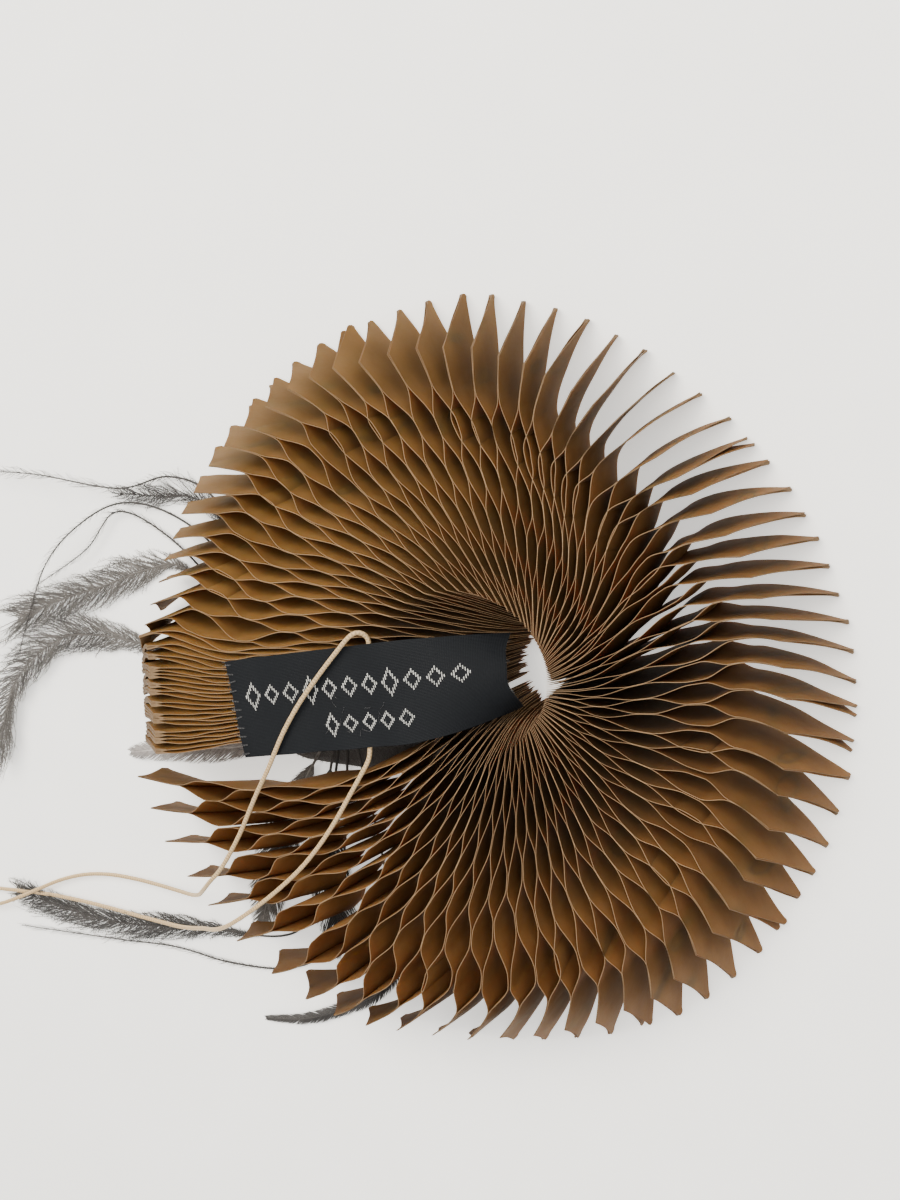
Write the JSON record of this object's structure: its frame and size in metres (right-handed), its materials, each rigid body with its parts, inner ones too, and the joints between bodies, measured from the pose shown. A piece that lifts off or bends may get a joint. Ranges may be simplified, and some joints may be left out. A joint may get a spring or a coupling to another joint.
{
  "type": "fascinator headpiece",
  "caption": "Fascinator headpiece: a fan of glued kraft paper leaves round an oval hole, with a woven label, an elastic loop and grey feather sprays.",
  "frame": {"origin": "in the middle of the paper fan, within 3 mm of the axis of its ring of tips, at the table that its feathered side lies on", "axes": "+Z along the fan's axis, out of the label side that faces the head; +X away from the seam and the label's outer end; +Y across"},
  "size_m": [0.2823, 0.2096, 0.0317],
  "materials": {
    "kraft_paper": "matte",
    "label_satin": "satin",
    "black_thread": "matte",
    "elastic_braid": "satin",
    "dark_felt": "matte",
    "charcoal_feather": "matte",
    "grey_feather": "matte",
    "pale_feather": "satin"
  },
  "bodies": {
    "fan": {"fan_leaves_01": "kraft_paper", "fan_leaves_02": "kraft_paper", "fan_leaves_03": "kraft_paper", "fan_leaves_04": "kraft_paper", "fan_leaves_05": "kraft_paper", "fan_leaves_06": "kraft_paper", "fan_leaves_07": "kraft_paper", "fan_leaves_08": "kraft_paper", "fan_leaves_09": "kraft_paper", "fan_leaves_10": "kraft_paper", "fan_leaves_11": "kraft_paper", "fan_leaves_12": "kraft_paper", "fan_leaves_13": "kraft_paper", "fan_leaves_14": "kraft_paper", "fan_leaves_15": "kraft_paper", "fan_leaves_16": "kraft_paper", "fan_leaves_17": "kraft_paper", "fan_leaves_18": "kraft_paper", "fan_leaves_19": "kraft_paper", "fan_leaves_20": "kraft_paper", "woven_label": "label_satin", "label_stitches": "black_thread", "felt_pad": "dark_felt", "flat_grey_feather": "pale_feather", "broad_upper_feather": "grey_feather", "broad_left_feather": "grey_feather", "broad_lower_feather": "charcoal_feather"},
    "elastic": {"elastic_loop": "elastic_braid", "elastic_knots": "elastic_braid"},
    "upper_spray": {"upper_quill_binding": "black_thread", "thin_upper_feather": "charcoal_feather", "tuft_feather": "charcoal_feather", "long_curl_feather": "charcoal_feather", "short_curl_feather": "charcoal_feather", "upper_plume": "grey_feather", "middle_plume": "grey_feather"},
    "lower_spray": {"lower_quill_binding": "black_thread", "lower_plume": "grey_feather", "lower_strand_feather": "charcoal_feather", "hackle_feather": "charcoal_feather"}
  },
  "joints": [
    {"name": "elastic_swing", "type": "hinge", "parent": "fan", "child": "elastic", "pos_m": [-0.02, 0, 0.0283], "axis": [0, 1, 0], "range_deg": [0, 100]},
    {"name": "upper_spray_sway", "type": "hinge", "parent": "fan", "child": "upper_spray", "pos_m": [-0.046, -0.006, 0.002], "axis": [0, 0, 1], "range_deg": [-6, 6], "stiffness_Nm_per_rad": 0.02},
    {"name": "lower_spray_sway", "type": "hinge", "parent": "fan", "child": "lower_spray", "pos_m": [-0.044, -0.018, 0.002], "axis": [0, 0, 1], "range_deg": [-6, 6], "stiffness_Nm_per_rad": 0.02}
  ]
}
